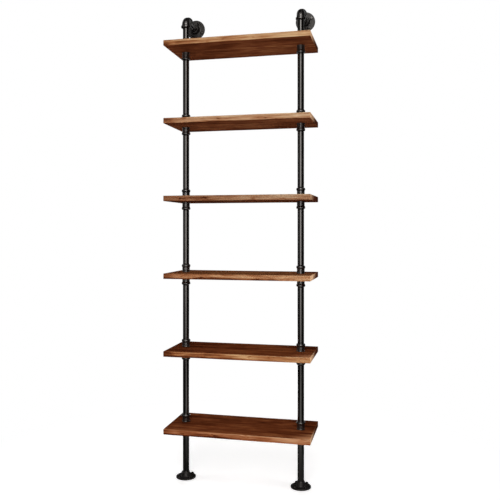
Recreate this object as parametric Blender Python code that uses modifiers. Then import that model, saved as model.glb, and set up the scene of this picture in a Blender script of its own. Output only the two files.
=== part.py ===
"""Ladder bookcase: six wooden boards on two uprights of black iron pipe.

Each upright stands on a floor flange and climbs through the boards. A coupling under
and a coupling over every board hold it, joined by a short nipple through the board's
hole. Above the top board a riser meets an elbow, which turns back to a wall flange.

Units are metres. +Z is up, the front faces -Y, and the origin lies on the floor under
the middle of the whole outline.
"""

import math

import bmesh
import bpy
from mathutils import Matrix, Vector

# Boards
BOARD_COUNT = 6
BOARD_LENGTH = 0.600
BOARD_DEPTH = 0.250
BOARD_THICKNESS = 0.022
BOARD_PITCH = 0.316
LOWEST_BOARD_HEIGHT = 0.213
BOARD_EDGE_ROUND = 0.0022
BOARD_HOLE_CLEARANCE = 0.0006

# Pipe
PIPE_DIAMETER = 0.0267
PIPE_WALL = 0.0029
PIPE_INSET = 0.0555

# Couplings: a bulging bead by the free end, a lower rim at the end that meets the board
COUPLING_LENGTH = 0.0315
COUPLING_WALL = 0.0021
COUPLING_BEAD_HEIGHT = 0.0025
COUPLING_BEAD_WIDTH = 0.0055
COUPLING_BEAD_SLOPE = 0.0030
COUPLING_RIM_HEIGHT = 0.0010
COUPLING_RIM_WIDTH = 0.0030
COUPLING_RIM_SLOPE = 0.0010
COUPLING_STOP = 0.0040

# Elbows
RISER_HEIGHT = 0.115
ELBOW_REACH = 0.0333
ELBOW_WALL = 0.0036
ELBOW_BEAD_HEIGHT = 0.0036
ELBOW_BEAD_WIDTH = 0.0070
ELBOW_BEAD_SLOPE = 0.0020
ELBOW_PIPE_CLEARANCE = 0.0008

# Flanges
FLANGE_DIAMETER = 0.083
FLANGE_THICKNESS = 0.006
FLANGE_EDGE_CHAMFER = 0.0012
FLANGE_HEIGHT = 0.025
HUB_TOP_WALL = 0.0024
HUB_BASE_WALL = 0.0062
HUB_FILLET = 0.0036
FLANGE_PIPE_END = 0.003

# Screws: a hexagon head on a washer face; angles are the left upright's
SCREW_HEAD_WIDTH = 0.0105
SCREW_HEAD_HEIGHT = 0.0065
SCREW_HEAD_CHAMFER = 0.0008
SCREW_WASHER_DIAMETER = 0.0135
SCREW_WASHER_THICKNESS = 0.0012
SCREW_SHANK_DIAMETER = 0.0050
SCREW_HOLE_CLEARANCE = 0.0006
SCREWS_PER_FLANGE = 4
FLOOR_SCREW_ANGLE = math.radians(45)
WALL_SCREW_ANGLE = math.radians(61.5)

# Fits and places
SEAT_GAP = 0.0003
THREAD_GAP = 0.0003
WALL_CLEARANCE = 0.013
CUT_OVERRUN = 0.002

# Facets
PIPE_SIDES = 18
FLANGE_SIDES = 32
SCREW_SIDES = 12
HEXAGON = 6
ELBOW_STEPS = 7
EDGE_ROUND_STEPS = 2
FILLET_STEPS = 2
SHARP_ANGLE = math.radians(40)

# Derived sizes
PIPE_RADIUS = PIPE_DIAMETER / 2
BORE_RADIUS = PIPE_RADIUS - PIPE_WALL
SOCKET_RADIUS = PIPE_RADIUS + THREAD_GAP
COUPLING_THREAD = (COUPLING_LENGTH - COUPLING_STOP) / 2
ELBOW_SOCKET = ELBOW_REACH - PIPE_RADIUS - ELBOW_PIPE_CLEARANCE
ELBOW_RADIUS = SOCKET_RADIUS + ELBOW_WALL
ELBOW_BEND = ELBOW_REACH - ELBOW_BEAD_WIDTH - 2 * ELBOW_BEAD_SLOPE
FLANGE_RADIUS = FLANGE_DIAMETER / 2
HUB_BASE_RADIUS = SOCKET_RADIUS + HUB_BASE_WALL
SCREW_CIRCLE = (HUB_BASE_RADIUS + FLANGE_RADIUS) / 2
SCREW_HOLE_RADIUS = SCREW_SHANK_DIAMETER / 2 + SCREW_HOLE_CLEARANCE
OUTLINE_DEPTH = BOARD_DEPTH + WALL_CLEARANCE
PIPE_Y = (BOARD_DEPTH - OUTLINE_DEPTH) / 2
WALL_Y = OUTLINE_DEPTH / 2
PIPE_X = BOARD_LENGTH / 2 - PIPE_INSET
BOARD_UNDERSIDES = [LOWEST_BOARD_HEIGHT + i * BOARD_PITCH for i in range(BOARD_COUNT)]
ELBOW_HEIGHT = BOARD_UNDERSIDES[-1] + BOARD_THICKNESS + RISER_HEIGHT


def clear_scene():
    """Remove whatever the file holds, so that the model starts alone."""
    for item in list(bpy.data.objects):
        bpy.data.objects.remove(item, do_unlink=True)


def make_collection(name):
    """Return a new collection linked to the scene."""
    collection = bpy.data.collections.new(name)
    bpy.context.scene.collection.children.link(collection)
    return collection


def make_material(name, colour, roughness, metallic):
    """Return a Principled material."""
    material = bpy.data.materials.new(name)
    material.use_nodes = True
    shader = material.node_tree.nodes["Principled BSDF"]
    shader.inputs["Base Color"].default_value = (*colour, 1)
    shader.inputs["Roughness"].default_value = roughness
    shader.inputs["Metallic"].default_value = metallic
    return material


def place(name, mesh, collection, parent=None, location=(0, 0, 0), rotation=(0, 0, 0)):
    """Return a new object that shows the mesh at a place under its parent."""
    item = bpy.data.objects.new(name, mesh)
    item.parent = parent
    item.location = location
    item.rotation_euler = rotation
    collection.objects.link(item)
    return item


def place_cutter(name, mesh, parent=None, location=(0, 0, 0), rotation=(0, 0, 0)):
    """Return an object that only cuts others."""
    item = place(name, mesh, CUTTERS, parent, location, rotation)
    item.hide_render = True
    item.display_type = "WIRE"
    return item


def cut(item, cutter):
    """Take the cutter's shape out of the item."""
    modifier = item.modifiers.new(cutter.name, "BOOLEAN")
    modifier.operation = "DIFFERENCE"
    modifier.object = cutter


def finish_mesh(mesh, material=None):
    """Shade a mesh smooth up to its sharp edges and give it its material."""
    mesh.shade_smooth()
    mesh.set_sharp_from_angle(angle=SHARP_ANGLE)
    if material:
        mesh.materials.clear()
        mesh.materials.append(material)
    return mesh


def evaluated_mesh(item):
    """Return the item's mesh with its modifiers applied, and remove the item."""
    graph = bpy.context.evaluated_depsgraph_get()
    mesh = bpy.data.meshes.new_from_object(item.evaluated_get(graph))
    mesh.name = item.name
    bpy.data.objects.remove(item, do_unlink=True)
    return mesh


def turned(name, outline, sides, material):
    """Return the mesh of an outline of (radius, height) points turned about Z.

    The outline runs down its outer side. It is closed unless both ends lie on the axis.
    """
    count = len(outline)
    solid_core = outline[0][0] == 0 and outline[-1][0] == 0
    edges = [(i, i + 1) for i in range(count - 1)]
    if not solid_core:
        edges.append((count - 1, 0))
    profile = bpy.data.meshes.new(name)
    profile.from_pydata([(radius, 0, height) for radius, height in outline], edges, [])
    item = place(name, profile, CUTTERS)
    screw = item.modifiers.new("Turn", "SCREW")
    screw.axis = "Z"
    screw.angle = math.tau
    screw.steps = sides
    screw.render_steps = sides
    screw.use_merge_vertices = True
    screw.merge_threshold = THREAD_GAP / 10
    return finish_mesh(evaluated_mesh(item), material)


def cylinder_into(mesh_builder, radius, low, high, sides, matrix):
    """Add a capped cylinder along Z from low to high, moved by the matrix."""
    lift = Matrix.Translation((0, 0, (low + high) / 2))
    bmesh.ops.create_cone(
        mesh_builder,
        cap_ends=True,
        segments=sides,
        radius1=radius,
        radius2=radius,
        depth=high - low,
        matrix=matrix @ lift,
    )


def mesh_from(mesh_builder, name):
    """Turn a bmesh into a mesh."""
    mesh = bpy.data.meshes.new(name)
    mesh_builder.to_mesh(mesh)
    mesh_builder.free()
    return mesh


def swept(name, points, material=None):
    """Return the mesh of a round tube through (place, radius) points, ends capped."""
    curve = bpy.data.curves.new(name, "CURVE")
    curve.dimensions = "3D"
    curve.bevel_depth = 1
    curve.bevel_resolution = PIPE_SIDES // 2 - 2
    curve.use_fill_caps = True
    spline = curve.splines.new("POLY")
    spline.points.add(len(points) - 1)
    for point, (centre, radius) in zip(spline.points, points):
        point.co = (*centre, 1)
        point.radius = radius
    item = place(name, curve, CUTTERS)
    mesh = evaluated_mesh(item)
    builder = bmesh.new()
    builder.from_mesh(mesh)
    bmesh.ops.remove_doubles(builder, verts=builder.verts, dist=THREAD_GAP / 10)
    bmesh.ops.recalc_face_normals(builder, faces=builder.faces)
    builder.to_mesh(mesh)
    builder.free()
    return finish_mesh(mesh, material)


def pipe_outline(low, high):
    """A length of pipe."""
    return [
        (PIPE_RADIUS, high),
        (PIPE_RADIUS, low),
        (BORE_RADIUS, low),
        (BORE_RADIUS, high),
    ]


def coupling_side():
    """The outer side of a coupling, from its board end at 0 down to its free end."""
    body = SOCKET_RADIUS + COUPLING_WALL
    rim = body + COUPLING_RIM_HEIGHT
    bead = body + COUPLING_BEAD_HEIGHT
    crest_low = -COUPLING_LENGTH + COUPLING_BEAD_SLOPE
    crest_high = crest_low + COUPLING_BEAD_WIDTH
    return [
        (rim, 0),
        (rim, -COUPLING_RIM_WIDTH),
        (body, -COUPLING_RIM_WIDTH - COUPLING_RIM_SLOPE),
        (body, crest_high + COUPLING_BEAD_SLOPE),
        (bead, crest_high),
        (bead, crest_low),
        (body, -COUPLING_LENGTH),
    ]


def upper_coupling_outline():
    """A coupling that stands on a board: the free end's bead is on top."""
    side = [(radius, -height) for radius, height in reversed(coupling_side())]
    return side + [(SOCKET_RADIUS, 0), (SOCKET_RADIUS, COUPLING_LENGTH)]


def lower_coupling_outline():
    """The coupling under a board, with the nipple that it holds up through the board."""
    nipple_top = BOARD_THICKNESS + 2 * SEAT_GAP + COUPLING_THREAD
    nipple = [(BORE_RADIUS, nipple_top), (PIPE_RADIUS, nipple_top), (PIPE_RADIUS, 0)]
    socket = [
        (SOCKET_RADIUS, -COUPLING_LENGTH),
        (SOCKET_RADIUS, -COUPLING_THREAD),
        (BORE_RADIUS, -COUPLING_THREAD),
    ]
    return nipple + coupling_side() + socket


def flange_outline():
    """A flange: a round plate with a tapering hub, open right through for the pipe."""
    hub = [(SOCKET_RADIUS, FLANGE_HEIGHT), (SOCKET_RADIUS + HUB_TOP_WALL, FLANGE_HEIGHT)]
    fillet = []
    for i in range(FILLET_STEPS + 1):
        angle = i / FILLET_STEPS * math.pi / 2
        radius = HUB_BASE_RADIUS + HUB_FILLET * (1 - math.cos(angle))
        fillet.append((radius, FLANGE_THICKNESS + HUB_FILLET * (1 - math.sin(angle))))
    plate = [
        (FLANGE_RADIUS - FLANGE_EDGE_CHAMFER, FLANGE_THICKNESS),
        (FLANGE_RADIUS, FLANGE_THICKNESS - FLANGE_EDGE_CHAMFER),
        (FLANGE_RADIUS, 0),
        (SOCKET_RADIUS, 0),
    ]
    return hub + fillet + plate


def screw_mesh():
    """A hexagon-headed screw, driven home: head on the plate, shank down to its back."""
    seat = FLANGE_THICKNESS + SEAT_GAP
    washer_top = seat + SCREW_WASHER_THICKNESS
    washer = SCREW_WASHER_DIAMETER / 2
    shank = SCREW_SHANK_DIAMETER / 2
    stem = [
        (0, washer_top),
        (washer, washer_top),
        (washer, seat),
        (shank, seat),
        (shank, SEAT_GAP),
        (0, SEAT_GAP),
    ]
    corner = SCREW_HEAD_WIDTH / 2 / math.cos(math.pi / HEXAGON)
    head_low = seat + SCREW_WASHER_THICKNESS / 2
    head_high = washer_top + SCREW_HEAD_HEIGHT
    head = [
        (0, head_high),
        (corner - SCREW_HEAD_CHAMFER, head_high),
        (corner, head_high - SCREW_HEAD_CHAMFER),
        (corner, head_low),
        (0, head_low),
    ]
    screw = place("screw", turned("screw_stem", stem, SCREW_SIDES, SCREW_STEEL), CUTTERS)
    hexagon = place("hexagon", turned("screw_head", head, HEXAGON, SCREW_STEEL), CUTTERS)
    join = screw.modifiers.new("Head", "BOOLEAN")
    join.operation = "UNION"
    join.object = hexagon
    mesh = evaluated_mesh(screw)
    bpy.data.objects.remove(hexagon, do_unlink=True)
    return finish_mesh(mesh)


def mirrored(side, angle):
    """An angle given for the left upright, as the right one has it mirrored."""
    return angle if side == "left" else math.pi - angle


def screw_places(turn):
    """The screws' centres on a flange."""
    angles = [turn + i * math.tau / SCREWS_PER_FLANGE for i in range(SCREWS_PER_FLANGE)]
    return [Vector((math.cos(a), math.sin(a), 0)) * SCREW_CIRCLE for a in angles]


def screw_hole_cutter(name, turn):
    """The mesh that drills a flange's screw holes."""
    builder = bmesh.new()
    for centre in screw_places(turn):
        matrix = Matrix.Translation(centre)
        top = FLANGE_THICKNESS + CUT_OVERRUN
        cylinder_into(builder, SCREW_HOLE_RADIUS, -CUT_OVERRUN, top, SCREW_SIDES, matrix)
    return mesh_from(builder, name)


def elbow_path(overrun=0):
    """The centre line of the elbow, from its lower mouth to its mouth at the back."""
    arc = []
    for i in range(ELBOW_STEPS + 1):
        angle = i / ELBOW_STEPS * math.pi / 2
        y = ELBOW_BEND * (1 - math.cos(angle))
        z = ELBOW_BEND * (math.sin(angle) - 1)
        arc.append(Vector((0, y, z)))
    reach = ELBOW_REACH + overrun
    return [Vector((0, 0, -reach))] + arc + [Vector((0, reach, 0))]


def elbow_body():
    """The elbow's outside: a bent tube with a bead round each mouth."""
    path = elbow_path()
    crest_end = ELBOW_BEAD_SLOPE + ELBOW_BEAD_WIDTH
    bead = [
        (0, ELBOW_RADIUS),
        (ELBOW_BEAD_SLOPE, ELBOW_RADIUS + ELBOW_BEAD_HEIGHT),
        (crest_end, ELBOW_RADIUS + ELBOW_BEAD_HEIGHT),
    ]
    points = [(path[0] + Vector((0, 0, depth)), radius) for depth, radius in bead]
    points += [(centre, ELBOW_RADIUS) for centre in path[1:-1]]
    points += [(path[-1] - Vector((0, depth, 0)), radius) for depth, radius in reversed(bead)]
    return swept("elbow", points, IRON)


def elbow_passage():
    """The mesh that opens the way through the elbow."""
    path = elbow_path(CUT_OVERRUN)
    return swept("elbow_passage", [(centre, BORE_RADIUS) for centre in path])


def elbow_sockets():
    """The mesh that cuts the two sockets, which stop clear of each other."""
    builder = bmesh.new()
    back = Matrix.Rotation(math.radians(90), 4, "X")
    low = -ELBOW_REACH - CUT_OVERRUN
    high = ELBOW_SOCKET - ELBOW_REACH
    for matrix in (Matrix.Identity(4), back):
        cylinder_into(builder, SOCKET_RADIUS, low, high, PIPE_SIDES, matrix)
    return mesh_from(builder, "elbow_sockets")


def make_board(index, underside, cutters):
    """One shelf board with its edges eased and a hole for each upright."""
    builder = bmesh.new()
    bmesh.ops.create_cube(builder, size=1)
    size = Vector((BOARD_LENGTH, BOARD_DEPTH, BOARD_THICKNESS))
    bmesh.ops.scale(builder, vec=size, verts=builder.verts)
    mesh = mesh_from(builder, f"board_{index}")
    mesh.materials.append(WOOD)
    centre = (0, PIPE_Y, underside + BOARD_THICKNESS / 2)
    board = place(f"board_{index}", mesh, PARTS, None, centre)
    bevel = board.modifiers.new("Edges", "BEVEL")
    bevel.width = min(BOARD_EDGE_ROUND, BOARD_THICKNESS / 3)
    bevel.segments = EDGE_ROUND_STEPS
    bevel.limit_method = "ANGLE"
    for cutter in cutters:
        cut(board, cutter)


def make_flange(name, mesh, parent, location, rotation, turn):
    """A flange with its four screw holes."""
    flange = place(name, mesh, PARTS, parent, location, rotation)
    holes = screw_hole_cutter(f"{name}_holes", turn)
    cut(flange, place_cutter(f"{name}_holes", holes, parent, location, rotation))


def make_upright(side, x, meshes):
    """Everything that stands on one side: flange, pipes, couplings, elbow, screws."""
    upright = place(f"{side}_upright", None, PARTS, None, (x, PIPE_Y, 0))
    add_fittings(side, upright, meshes)
    add_pipes(side, upright)
    add_wall_end(side, upright, meshes)
    turn = mirrored(side, FLOOR_SCREW_ANGLE)
    make_flange(f"{side}_floor_flange", meshes["flange"], upright, (0, 0, 0), (0, 0, 0), turn)
    for number, centre in enumerate(screw_places(turn), 1):
        place(f"{side}_floor_screw_{number}", meshes["screw"], PARTS, upright, centre)


def add_fittings(side, upright, meshes):
    """The pair of couplings at every board."""
    for index, underside in enumerate(BOARD_UNDERSIDES, 1):
        low = (0, 0, underside - SEAT_GAP)
        high = (0, 0, underside + BOARD_THICKNESS + SEAT_GAP)
        place(f"{side}_lower_coupling_{index}", meshes["lower"], PARTS, upright, low)
        place(f"{side}_upper_coupling_{index}", meshes["upper"], PARTS, upright, high)


def add_pipes(side, upright):
    """The foot, the pipes between boards and the riser, each from socket to socket."""
    starts = [FLANGE_PIPE_END]
    ends = []
    for underside in BOARD_UNDERSIDES:
        ends.append(underside - SEAT_GAP - COUPLING_LENGTH + COUPLING_THREAD)
        top = underside + BOARD_THICKNESS + SEAT_GAP
        starts.append(top + COUPLING_LENGTH - COUPLING_THREAD)
    ends.append(ELBOW_HEIGHT - ELBOW_REACH + ELBOW_SOCKET - SEAT_GAP)
    bays = [f"{side}_pipe_{i}" for i in range(1, BOARD_COUNT)]
    names = [f"{side}_foot_pipe", *bays, f"{side}_riser_pipe"]
    for name, low, high in zip(names, starts, ends):
        mesh = turned(name, pipe_outline(0, high - low), PIPE_SIDES, IRON)
        place(name, mesh, PARTS, upright, (0, 0, low))


def add_wall_end(side, upright, meshes):
    """The elbow, the pipe back to the wall, and the wall flange."""
    bend = (0, 0, ELBOW_HEIGHT)
    elbow = place(f"{side}_elbow", meshes["elbow"], PARTS, upright, bend)
    cut(elbow, place_cutter(f"{side}_elbow_passage", meshes["passage"], upright, bend))
    cut(elbow, place_cutter(f"{side}_elbow_sockets", meshes["sockets"], upright, bend))
    wall = (0, WALL_Y - PIPE_Y, ELBOW_HEIGHT)
    forward = (math.radians(90), 0, 0)
    elbow_end = wall[1] - (ELBOW_REACH - ELBOW_SOCKET + SEAT_GAP)
    outline = pipe_outline(FLANGE_PIPE_END, elbow_end)
    mesh = turned(f"{side}_wall_pipe", outline, PIPE_SIDES, IRON)
    place(f"{side}_wall_pipe", mesh, PARTS, upright, wall, forward)
    turn = mirrored(side, WALL_SCREW_ANGLE)
    make_flange(f"{side}_wall_flange", meshes["flange"], upright, wall, forward, turn)


def make_bookcase():
    """Build the whole bookcase."""
    meshes = {
        "lower": turned("lower_coupling", lower_coupling_outline(), PIPE_SIDES, IRON),
        "upper": turned("upper_coupling", upper_coupling_outline(), PIPE_SIDES, IRON),
        "flange": turned("flange", flange_outline(), FLANGE_SIDES, IRON),
        "screw": screw_mesh(),
        "elbow": elbow_body(),
        "passage": elbow_passage(),
        "sockets": elbow_sockets(),
    }
    hole_radius = PIPE_RADIUS + BOARD_HOLE_CLEARANCE
    cutters = []
    for side, x in (("left", -PIPE_X), ("right", PIPE_X)):
        make_upright(side, x, meshes)
        builder = bmesh.new()
        cylinder_into(builder, hole_radius, 0, ELBOW_HEIGHT, PIPE_SIDES, Matrix.Identity(4))
        drill = mesh_from(builder, f"{side}_board_drill")
        cutters.append(place_cutter(f"{side}_board_drill", drill, None, (x, PIPE_Y, 0)))
    for index, underside in enumerate(BOARD_UNDERSIDES, 1):
        make_board(index, underside, cutters)


clear_scene()
PARTS = make_collection("ladder_bookcase")
CUTTERS = make_collection("cutters")
WOOD = make_material("brown_wood", (0.33, 0.15, 0.065), 0.55, 0.0)
IRON = make_material("black_iron", (0.055, 0.055, 0.058), 0.45, 0.85)
SCREW_STEEL = make_material("dark_screw_steel", (0.08, 0.08, 0.08), 0.4, 0.9)
make_bookcase()
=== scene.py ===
"""Looks of the ladder bookcase: brown stained boards on two uprights of black iron pipe.

Every piece stands where its solid stands. Lengths are metres, and the front faces -Y.
"""

import math

import bpy
import numpy as np
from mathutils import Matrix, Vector, noise


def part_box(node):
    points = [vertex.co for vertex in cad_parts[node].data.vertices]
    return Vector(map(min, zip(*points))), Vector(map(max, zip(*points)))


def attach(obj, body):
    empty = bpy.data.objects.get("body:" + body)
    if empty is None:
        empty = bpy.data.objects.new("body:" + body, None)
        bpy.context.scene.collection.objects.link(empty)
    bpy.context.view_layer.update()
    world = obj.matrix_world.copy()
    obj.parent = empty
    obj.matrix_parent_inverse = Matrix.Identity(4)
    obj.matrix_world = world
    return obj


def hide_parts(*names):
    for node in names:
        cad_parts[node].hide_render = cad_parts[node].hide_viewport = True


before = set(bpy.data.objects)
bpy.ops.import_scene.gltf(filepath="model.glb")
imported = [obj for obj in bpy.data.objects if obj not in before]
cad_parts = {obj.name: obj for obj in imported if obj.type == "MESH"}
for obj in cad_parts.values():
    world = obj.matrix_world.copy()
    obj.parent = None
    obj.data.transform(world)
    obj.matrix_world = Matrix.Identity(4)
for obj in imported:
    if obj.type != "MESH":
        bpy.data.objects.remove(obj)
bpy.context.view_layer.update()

SIDES = ("left", "right")
BOARDS = range(1, 7)
BAYS = range(1, 6)

ORIGIN = (0, 0, 0)
STANDING = (0, 0, 0)
# Lays what stands along Z down towards the front
LAID_FORWARD = (math.radians(90), 0, 0)

# Facets
PIPE_FACETS = 48
FITTING_FACETS = 64
FLANGE_FACETS = 96
SCREW_FACETS = 48
ARC_STEPS = 4
SHARP_ANGLE = math.radians(42)

# Rounds of an outline: the most of a side that one takes, and the points just beyond it
EASE_LIMIT = 0.45
LEAD_FACTOR = 1.25
LEAD_LIMIT = 0.49

# Pipe and its threads
PIPE_WALL = 0.0029
THREAD_GAP = 0.0003
THREAD_PITCH = 0.00181
THREAD_DEPTH = 0.0007
THREAD_SHOWN = 0.0022
THREAD_FADE = 0.0015
THREAD_ROWS = 6
PIPE_END_CHAMFER = 0.0008

# Couplings
COUPLING_WALL = 0.0021
COUPLING_BEAD_WIDTH = 0.0055
COUPLING_BEAD_SLOPE = 0.0030
COUPLING_BEAD_EASE = 0.0020
COUPLING_BEAD_FOOT_EASE = 0.0018
COUPLING_RIM_HEIGHT = 0.0010
COUPLING_RIM_WIDTH = 0.0030
COUPLING_RIM_SLOPE = 0.0010
COUPLING_RIM_EASE = 0.0007
COUPLING_SEAT_EASE = 0.0003
COUPLING_MOUTH_EASE = 0.0006
COUPLING_STOP = 0.0040
MOUTH_CHAMFER = 0.0006
# How far each coupling is turned past the one below, and past its mate under the board
COUPLING_TURN = 1.9
MATE_TURN = 1

# Elbows
ELBOW_REACH = 0.0333
ELBOW_WALL = 0.0036
ELBOW_LIP = 0.0012
ELBOW_LIP_EASE = 0.0008
ELBOW_BEAD_HEIGHT = 0.0036
ELBOW_BEAD_WIDTH = 0.0070
ELBOW_BEAD_SLOPE = 0.0020
ELBOW_BEAD_FRONT_EASE = 0.0016
ELBOW_BEAD_REAR_EASE = 0.0018
ELBOW_BEAD_FOOT_EASE = 0.0014
ELBOW_PIPE_CLEARANCE = 0.0008
ELBOW_STEPS = 24

# Flanges
FLANGE_THICKNESS = 0.006
FLANGE_EDGE_CHAMFER = 0.0012
FLANGE_EASE = 0.0008
FLANGE_SEAT_EASE = 0.0004
HUB_TOP_WALL = 0.0024
HUB_BASE_WALL = 0.0062
HUB_FILLET = 0.0036
FLANGE_PIPE_END = 0.003
WALL_SCREW_ANGLE = math.radians(61.5)
FLOOR_SCREW_ANGLE = math.radians(45)
SCREWS_PER_FLANGE = 4

# Screws
SCREW_HEAD_WIDTH = 0.0105
SCREW_HEAD_HEIGHT = 0.0065
SCREW_HEAD_ROWS = 4
SCREW_HEAD_CHAMFER = 0.0012
SCREW_CHAMFER_STEPS = 4
# Half widths of the head's top, as shares of the half width across its flats
SCREW_CROWN = 0.9
SCREW_CROWN_FLAT = 0.8
SCREW_WASHER_RADIUS = 0.00675
SCREW_WASHER_THICKNESS = 0.0012
SCREW_WASHER_SEAT_EASE = 0.0002
SCREW_WASHER_TOP_EASE = 0.0003
SCREW_SHANK_RADIUS = 0.0025
SCREW_HOLE_RADIUS = 0.0031
SCREW_THREAD_PITCH = 0.0018
SCREW_THREAD_DEPTH = 0.0005
SEAT_GAP = 0.0003
HEXAGON = 6

# Boards
STATION_STEP = 0.0050
FACE_COLUMNS = 18
EDGE_ROWS = 5
SUPPORT = 0.0012
SUPPORT_LIMIT = 0.2
BOARD_HOLE_CLEARANCE = 0.0006
END_ARRIS = 0.0010
CORNER_ARRIS = 0.0014
END_STEPS = 6
CAP_INSET = 0.0008
ARRISES = {"back_top": 0.0012, "front_top": 0.0015, "front_bottom": 0.0018, "back_bottom": 0.0012}
ARRIS_WANDER = 0.0012
LEAST_ARRIS = 0.0007
# The most of half the thickness that an arris takes
ARRIS_LIMIT = 0.9
# The waves of an arris: share, waves per metre, and the step of the noise from arris to arris
ARRIS_WAVES = ((1.0, 9, 3.1), (0.5, 38, 5.3))
FACE_WANDER = 0.0002
FRONT_WANDER = 0.0006
# Waves per metre along x, y and z of the front edge and of the faces
FRONT_WAVES = (7, 8, 30)
FACE_WAVES = (6, 9, 40)
WANDER_GAIN = 1.6
BOARD_SEED = 11.3
FRONT_SEED = 40

# Camera of the photograph
CAMERA_PLACE = (0.6271, -2.6026, 1.0443)
CAMERA_TURN = 0.225
CAMERA_SENSOR = 36.0
CAMERA_FOCAL_PIXELS = 644.235
CAMERA_HORIZON_PIXELS = 229.853
PHOTO_PIXELS = 500

# Sizes read from the solids
BAY_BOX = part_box("left_pipe_1")
PIPE_RADIUS = (BAY_BOX[1].x - BAY_BOX[0].x) / 2
PIPE_X = {side: sum(corner.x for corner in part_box(f"{side}_pipe_1")) / 2 for side in SIDES}
PIPE_Y = sum(corner.y for corner in BAY_BOX) / 2
BORE_RADIUS = PIPE_RADIUS - PIPE_WALL
SOCKET_RADIUS = PIPE_RADIUS + THREAD_GAP
HOLE_RADIUS = PIPE_RADIUS + BOARD_HOLE_CLEARANCE
COUPLING_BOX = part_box("left_upper_coupling_1")
COUPLING_LENGTH = COUPLING_BOX[1].z - COUPLING_BOX[0].z
COUPLING_BEAD = (COUPLING_BOX[1].x - COUPLING_BOX[0].x) / 2
COUPLING_GRIP = (COUPLING_LENGTH - COUPLING_STOP) / 2
FLANGE_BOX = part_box("left_floor_flange")
FLANGE_RADIUS = (FLANGE_BOX[1].x - FLANGE_BOX[0].x) / 2
FLANGE_HEIGHT = FLANGE_BOX[1].z - FLANGE_BOX[0].z
FLANGE_GRIP = FLANGE_HEIGHT - FLANGE_PIPE_END
HUB_BASE_RADIUS = SOCKET_RADIUS + HUB_BASE_WALL
SCREW_CIRCLE = (HUB_BASE_RADIUS + FLANGE_RADIUS) / 2
ELBOW_RADIUS = SOCKET_RADIUS + ELBOW_WALL
ELBOW_GRIP = ELBOW_REACH - PIPE_RADIUS - ELBOW_PIPE_CLEARANCE
ELBOW_BEND = ELBOW_REACH - ELBOW_BEAD_WIDTH - 2 * ELBOW_BEAD_SLOPE
ELBOW_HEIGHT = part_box("left_elbow")[0].z + ELBOW_REACH
WALL_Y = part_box("left_wall_flange")[1].y
BOARD_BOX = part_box("board_1")
BOARD_SIZE = BOARD_BOX[1] - BOARD_BOX[0]


def srgb(red, green, blue):
    """Return the linear colour of a 0 to 255 display colour."""
    shares = [value / 255 for value in (red, green, blue)]
    linear = [v / 12.92 if v <= 0.04045 else ((v + 0.055) / 1.055) ** 2.4 for v in shares]
    return (*linear, 1)


# Iron: its tone and gloss follow broad patches and a fine grain
IRON_SHEEN = (1.0, 0.94, 0.89, 1)
IRON_GRAIN_ROUGHNESS = 0.6
IRON_GRAIN_WEIGHT = 0.45
IRON_PATCH_DENSITY = (70, 70, 28)
IRON_PATCH_DETAIL = 2.0
IRON_PATCH_SPAN = (0.35, 0.65)
IRON_PATCH_WEIGHT = 0.55
IRON_TONE_PLACES = (0.15, 0.85)
IRON_GLOSS_SPAN = (0.3, 0.7)

# Wood: features per metre along x, y and z, detail, roughness, and the span spread to 0 to 1
WOOD_NOISES = {
    "fibre": ((14, 520, 520), 3.0, 0.6, None),
    "streak": ((3.4, 95, 130), 4.0, 0.6, (0.36, 0.64)),
    "broad": ((3.0, 14, 40), 3.0, 0.5, (0.36, 0.64)),
    "blotch": ((13, 22, 60), 3.0, 0.55, (0.38, 0.62)),
    "figure": ((10, 60, 110), 3.0, 0.6, (0.36, 0.64)),
    "spots": ((17, 34, 60), 3.0, 0.6, (0.60, 0.72)),
    "warp": ((2.6, 7, 7), 2.0, 0.5, None),
    "sag": ((16, 40, 40), 3.0, 0.5, None),
    "ragged": ((30, 60, 90), 3.0, 0.5, None),
    "chips": ((60, 160, 160), 3.0, 0.6, None),
}
# Each board is cut from another place of the wood
GRAIN_STEP = (1.7, 0.9, 0.37)
# Growth rings round a pith (y, z) under the board
PITH = (0.035, -0.075)
RING_SPACING = 0.0062
RING_WARP = 7.0
LATE_WOOD_POWER = 3.0
# What each pattern adds to how light a surface is. Plain is the same everywhere
EDGE_WEIGHTS = {
    "edge_stain": 0.70,
    "streak": 0.32,
    "figure": 0.28,
    "broad": 0.08,
    "late": -0.16,
    "fibre": 0.12,
    "spots": -0.42,
    "plain": -0.115,
}
FACE_WEIGHTS = {
    "face_stain": 0.34,
    # painted shade from the front to the back of the faces
    "depth_painted_shade": 0.40,
    "streak": 0.36,
    "broad": 0.2,
    "blotch": 0.14,
    "late": -0.2,
    "fibre": 0.24,
    "plain": -0.22,
    # painted shadow over the right rear of the upper face
    "rear_painted_shadow": -0.26,
    "figure": 0.14,
}
END_WEIGHTS = {"late": -0.5, "fibre": 0.6, "blotch": 0.4}
END_PATCH_WEIGHTS = {"late": 0.55, "fibre": 0.45, "blotch": 0.15}
RELIEF_WEIGHTS = {"fibre": 0.6, "streak": 0.4}
RELIEF_DEPTH = 0.0004
WOOD_GLOSS = (0.62, 0.5)
# How far a normal leans up or along as its surface turns into a face or an end
FACE_NORMALS = (0.55, 0.85)
END_NORMALS = (0.60, 0.90)
EDGE_TONES = [
    (0.00, srgb(78, 36, 18)),
    (0.28, srgb(138, 82, 50)),
    (0.52, srgb(168, 116, 80)),
    (0.78, srgb(190, 146, 108)),
    (1.00, srgb(208, 170, 132)),
]
FACE_TONES = [
    (0.00, srgb(48, 18, 7)),
    (0.40, srgb(88, 42, 22)),
    (0.70, srgb(119, 65, 38)),
    (1.00, srgb(152, 95, 59)),
]
END_TONES = [(0.2, srgb(54, 24, 14)), (0.8, srgb(86, 44, 28))]
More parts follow.
